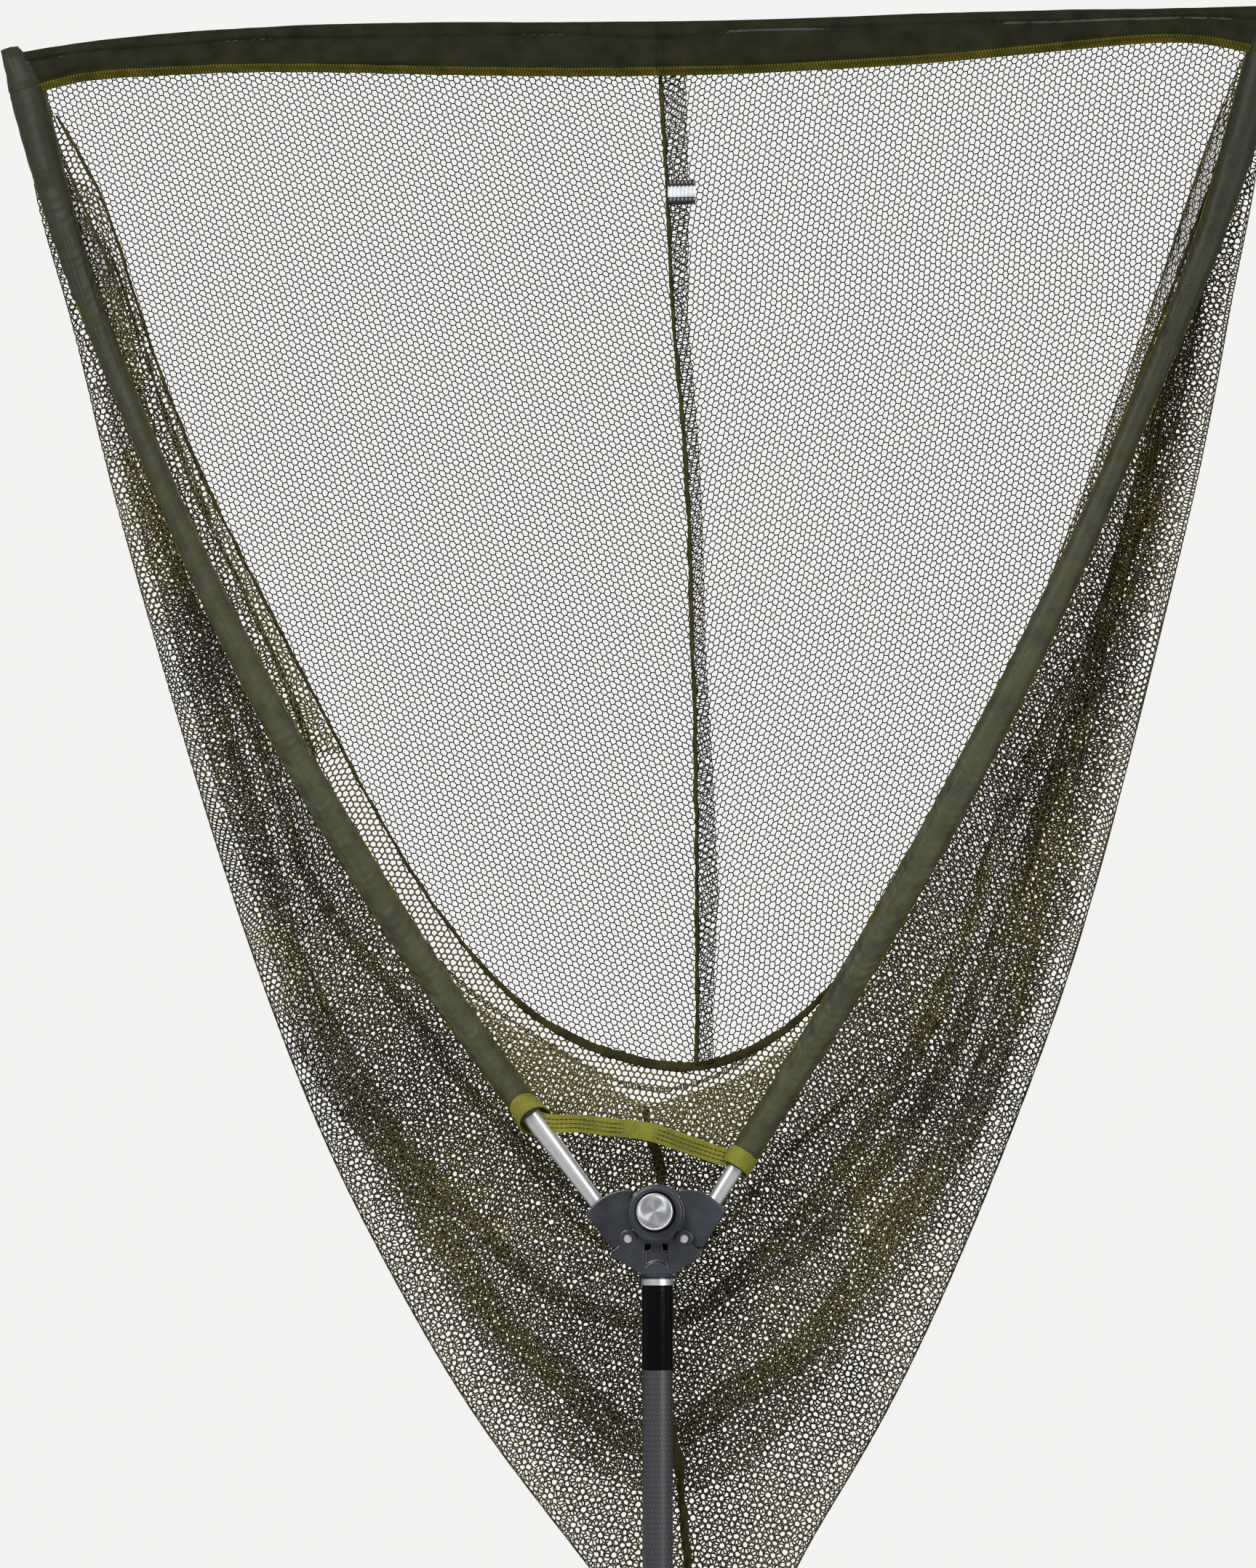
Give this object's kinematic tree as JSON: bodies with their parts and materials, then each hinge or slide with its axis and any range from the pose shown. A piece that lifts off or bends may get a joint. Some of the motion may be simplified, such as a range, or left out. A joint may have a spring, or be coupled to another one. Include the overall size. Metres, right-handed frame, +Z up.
{
  "type": "folding landing net",
  "caption": "Folding landing net: bowed arms on a push-button spreader block, slim handle, mouth cord in a hem and a deep hexagonal-mesh bag.",
  "frame": {"origin": "centre of the handle's butt face", "axes": "+Z up the handle towards the net, +X to the right arm seen from the button's side, -Y towards the viewer of the button"},
  "size_m": [1.1156, 0.1466, 2.899],
  "materials": {
    "carbon": "woven carbon under clear lacquer",
    "gloss_black": "gloss",
    "moulding": "satin moulded nylon",
    "steel": "bright turned",
    "spring_steel": "plain",
    "grip_foam": "matt",
    "rod": "satin",
    "sleeve_cloth": "coated woven cloth",
    "hem_cloth": "coated woven cloth",
    "webbing": "woven webbing",
    "netting": "knitted hexagonal mesh",
    "seam_cord": "gathered and stitched mesh",
    "cord": "braided",
    "clear_plastic": "ribbed"
  },
  "bodies": {
    "handle": {"handle_tube": "carbon", "butt_cap": "moulding", "grip_trim_ring": "steel", "handle_grip": "grip_foam", "top_sleeve": "gloss_black", "thread_insert": "steel", "collar_ring": "steel", "spacer_washer": "moulding", "spreader_stud": "steel", "spreader_core": "moulding", "left_pivot_bolt": "steel", "right_pivot_bolt": "steel", "left_pivot_nut": "steel", "right_pivot_nut": "steel", "left_friction_washers": "moulding", "right_friction_washers": "moulding", "rear_cover": "moulding", "return_spring": "spring_steel", "left_base_panel": "netting", "right_base_panel": "netting", "left_base_seam": "seam_cord", "right_base_seam": "seam_cord", "left_pouch": "netting", "right_pouch": "netting", "centre_seam": "seam_cord", "pouch_seam": "seam_cord", "seam_clip": "clear_plastic", "mouth_cord": "cord", "top_hem": "hem_cloth", "cross_strap": "webbing"},
    "left_arm": {"left_wing": "moulding", "left_ferrule": "steel", "left_arm_rod": "rod", "left_tip_cap": "moulding", "left_arm_sleeve": "sleeve_cloth", "left_corner_pocket": "hem_cloth", "left_strap_loop": "webbing"},
    "right_arm": {"right_wing": "moulding", "right_ferrule": "steel", "right_arm_rod": "rod", "right_tip_cap": "moulding", "right_arm_sleeve": "sleeve_cloth", "right_corner_pocket": "hem_cloth", "right_strap_loop": "webbing"},
    "button": {"button_knob": "moulding", "button_disc": "steel", "button_plunger": "steel", "retaining_clip": "steel"}
  },
  "joints": [
    {"name": "left_fold", "type": "hinge", "parent": "handle", "child": "left_arm", "pos_m": [-0.0234, 0, 1.838], "axis": [0, 1, 0], "range_deg": [0, 24], "deforming": ["left_base_panel", "right_base_panel", "left_base_seam", "right_base_seam", "left_pouch", "right_pouch", "centre_seam", "pouch_seam", "seam_clip", "mouth_cord", "top_hem", "cross_strap"]},
    {"name": "right_fold", "type": "hinge", "parent": "handle", "child": "right_arm", "pos_m": [0.0234, 0, 1.838], "axis": [0, -1, 0], "range_deg": [0, 19], "deforming": ["left_base_panel", "right_base_panel", "left_base_seam", "right_base_seam", "left_pouch", "right_pouch", "centre_seam", "pouch_seam", "seam_clip", "mouth_cord", "top_hem", "cross_strap"]},
    {"name": "button_press", "type": "slide", "parent": "handle", "child": "button", "axis": [0, 1, 0], "range_m": [0, 0.0045], "stiffness_N_per_m": 900, "deforming": ["return_spring"]}
  ]
}
